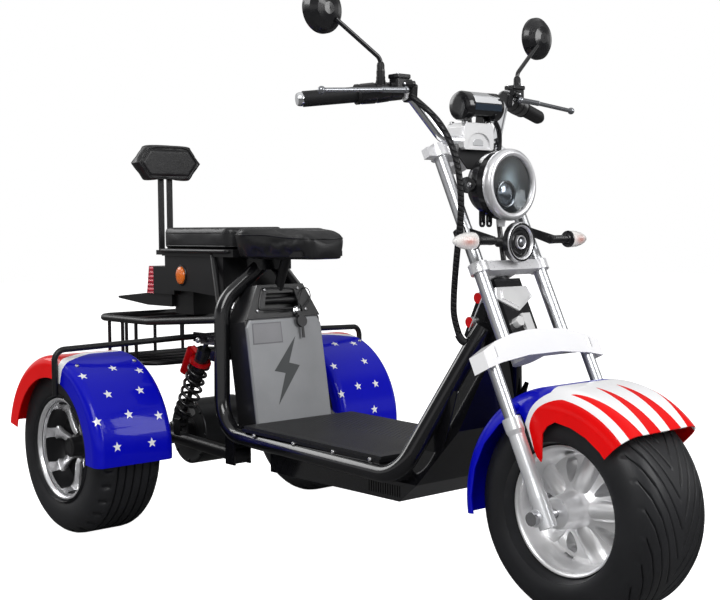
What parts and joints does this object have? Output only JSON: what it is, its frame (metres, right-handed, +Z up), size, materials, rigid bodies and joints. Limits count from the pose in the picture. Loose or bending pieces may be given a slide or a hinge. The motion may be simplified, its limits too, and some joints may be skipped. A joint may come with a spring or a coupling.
{
  "type": "motorized trike",
  "caption": "Fat-tyre electric trike with a raked chrome fork, step-through tube frame, battery box, two seats, backrest and luggage rack.",
  "frame": {"origin": "on the ground under the middle of the vehicle's length and width", "axes": "+X forward, +Y to the rider's left, +Z up"},
  "size_m": [2.0724, 1.064, 1.3225],
  "materials": {
    "amber_lens": "amber lens",
    "black_frame": "gloss black enamel",
    "black_plastic": "black moulded",
    "black_steel": "black powder coat",
    "blue_paint": "gloss blue with white stars and a red rear edge",
    "cast_silver": "bright cast",
    "chrome": "polished",
    "clear_lens": "clear lens over amber",
    "disc_steel": "ground steel",
    "gloss_black": "gloss black",
    "lamp_glass": "dark headlamp glass",
    "mat_rubber": "ribbed black rubber",
    "mirror_glass": "silvered",
    "panel_grey": "satin grey with a dark bolt sign",
    "red_lens": "ribbed red lens",
    "red_paint": "gloss red with white stripes",
    "seat_vinyl": "black vinyl",
    "shock_black": "black",
    "shock_red": "red anodised",
    "tyre_rubber": "black tread rubber",
    "white_paint": "gloss white"
  },
  "bodies": {
    "chassis": {"backrest_pad": "seat_vinyl", "battery_case": "black_plastic", "battery_handle": "black_plastic", "battery_key": "black_plastic", "battery_panel": "panel_grey", "belly_pan": "gloss_black", "driver_seat": "seat_vinyl", "fender_stay": "black_steel", "footboard": "black_steel", "footboard_mat": "mat_rubber", "frame_cross_tubes": "black_frame", "frame_left_rail": "black_frame", "frame_neck": "black_frame", "frame_right_rail": "black_frame", "luggage_rack": "black_steel", "neck_shield": "chrome", "passenger_seat": "seat_vinyl", "rear_axle": "black_steel", "rear_fender_left": "blue_paint", "rear_fender_right": "blue_paint", "seat_base": "black_plastic", "shock_reservoirs": "shock_red", "shock_springs": "shock_black", "shocks": "shock_black", "side_lamps": "amber_lens", "side_reflectors": "red_lens", "tail_housing": "black_plastic", "tail_lens": "red_lens", "tail_mudguard": "black_plastic"},
    "steering": {"fork_clamps": "cast_silver", "fork_tubes": "chrome", "fork_sliders": "cast_silver", "yoke_cover": "white_paint", "front_axle": "chrome", "front_fender": "red_paint", "handlebar": "chrome", "handlebar_riser": "chrome", "grips": "black_plastic", "switchgear": "gloss_black", "brake_levers": "cast_silver", "mirrors": "gloss_black", "speedometer": "gloss_black", "headlamp_bowl": "gloss_black", "headlamp_bezel": "chrome", "horn": "gloss_black", "signal_lenses": "clear_lens", "lamp_bracket": "black_steel", "headlamp_lens": "lamp_glass", "mirror_glasses": "mirror_glass", "front_caliper": "black_steel", "control_harness": "black_plastic"},
    "front_wheel": {"front_tyre": "tyre_rubber", "front_rim": "cast_silver", "front_disc": "disc_steel"},
    "rear_wheel_right": {"rear_tyre_right": "tyre_rubber", "rear_rim_right": "chrome"},
    "rear_wheel_left": {"rear_tyre_left": "tyre_rubber", "rear_rim_left": "chrome"}
  },
  "joints": [
    {"name": "steering_turn", "type": "hinge", "parent": "chassis", "child": "steering", "pos_m": [0.58062, 0, 0.61873], "axis": [-0.4305, 0, 0.9026], "range_deg": [-35, 35], "deforming": ["control_harness"]},
    {"name": "front_wheel_roll", "type": "hinge", "parent": "steering", "child": "front_wheel", "pos_m": [0.80775, 0, 0.2285], "axis": [0, 1, 0], "continuous": true},
    {"name": "rear_wheel_right_roll", "type": "hinge", "parent": "chassis", "child": "rear_wheel_right", "pos_m": [-0.57425, -0.395, 0.2285], "axis": [0, 1, 0], "continuous": true},
    {"name": "rear_wheel_left_roll", "type": "hinge", "parent": "chassis", "child": "rear_wheel_left", "pos_m": [-0.57425, 0.395, 0.2285], "axis": [0, 1, 0], "continuous": true}
  ]
}
